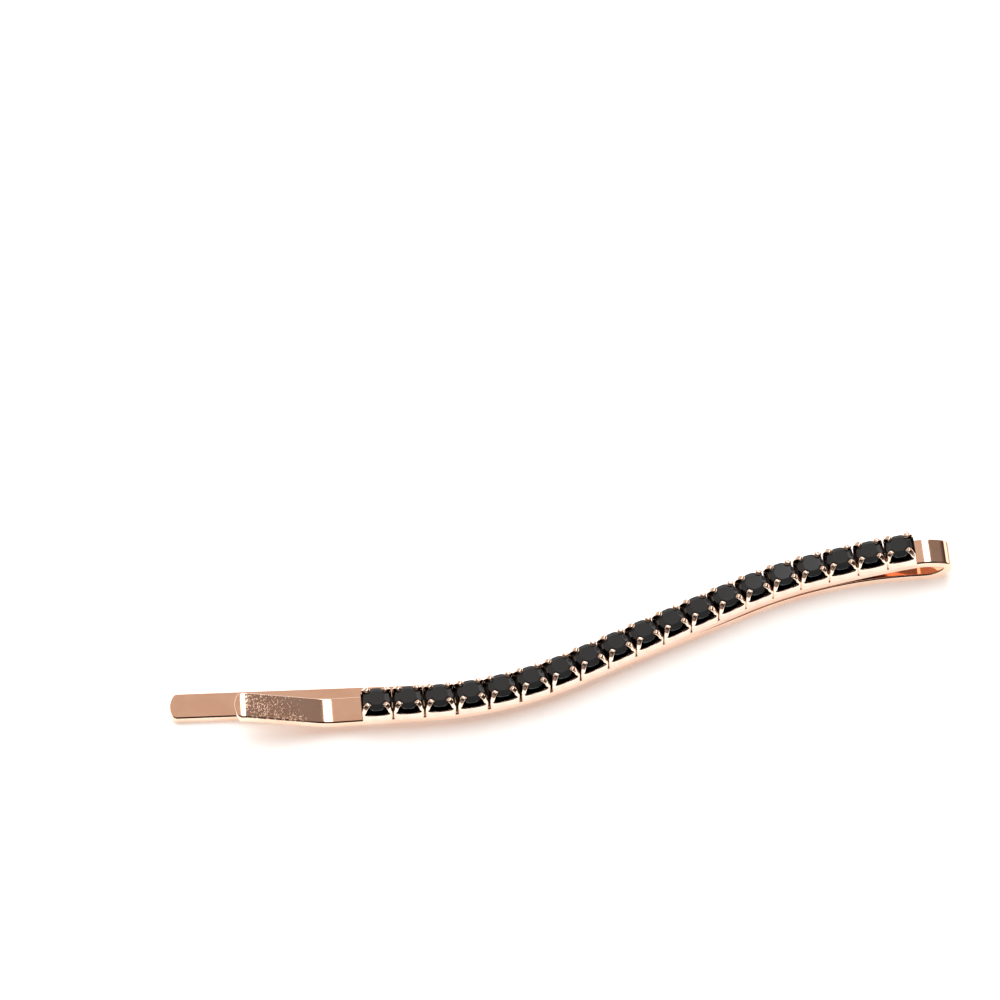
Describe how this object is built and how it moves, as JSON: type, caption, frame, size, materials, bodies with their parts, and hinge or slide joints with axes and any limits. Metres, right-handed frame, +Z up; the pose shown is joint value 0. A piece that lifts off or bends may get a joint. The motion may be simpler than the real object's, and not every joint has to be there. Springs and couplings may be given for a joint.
{
  "type": "bobby pin",
  "caption": "Waved flat-strip hair pin with a springy upper arm that carries a chain of prong-set black stones.",
  "frame": {"origin": "middle of the footprint, on the surface that the pin lies on", "axes": "+X from the open tips to the folded bow, +Z up through the stones, +Y to the left of +X"},
  "size_m": [0.0712, 0.015, 0.0043],
  "materials": {
    "rose_gold_strip": "polished rose-gold plating on spring steel",
    "rose_gold_cup": "bright rose-gold plating on stamped brass",
    "black_glass": "polished opaque black facets",
    "clear_bond": "cured clear adhesive"
  },
  "bodies": {
    "lower_half": {"lower_arm": "rose_gold_strip", "bow": "rose_gold_strip"},
    "upper_half": {"upper_arm": "rose_gold_strip", "adhesive_bed": "clear_bond", "chain_links": "rose_gold_cup", "cup_01": "rose_gold_cup", "cup_02": "rose_gold_cup", "cup_03": "rose_gold_cup", "cup_04": "rose_gold_cup", "cup_05": "rose_gold_cup", "cup_06": "rose_gold_cup", "cup_07": "rose_gold_cup", "cup_08": "rose_gold_cup", "cup_09": "rose_gold_cup", "cup_10": "rose_gold_cup", "cup_11": "rose_gold_cup", "cup_12": "rose_gold_cup", "cup_13": "rose_gold_cup", "cup_14": "rose_gold_cup", "cup_15": "rose_gold_cup", "cup_16": "rose_gold_cup", "cup_17": "rose_gold_cup", "cup_18": "rose_gold_cup", "cup_19": "rose_gold_cup", "stone_01": "black_glass", "stone_02": "black_glass", "stone_03": "black_glass", "stone_04": "black_glass", "stone_05": "black_glass", "stone_06": "black_glass", "stone_07": "black_glass", "stone_08": "black_glass", "stone_09": "black_glass", "stone_10": "black_glass", "stone_11": "black_glass", "stone_12": "black_glass", "stone_13": "black_glass", "stone_14": "black_glass", "stone_15": "black_glass", "stone_16": "black_glass", "stone_17": "black_glass", "stone_18": "black_glass", "stone_19": "black_glass"}
  },
  "joints": [
    {"name": "arm_spring", "type": "hinge", "parent": "lower_half", "child": "upper_half", "pos_m": [0.03464, 0.00617, 0.00159], "axis": [0, 1, 0], "range_deg": [0, 15], "stiffness_Nm_per_rad": 0.26, "springref_deg": -5.73, "deforming": ["bow"]}
  ]
}
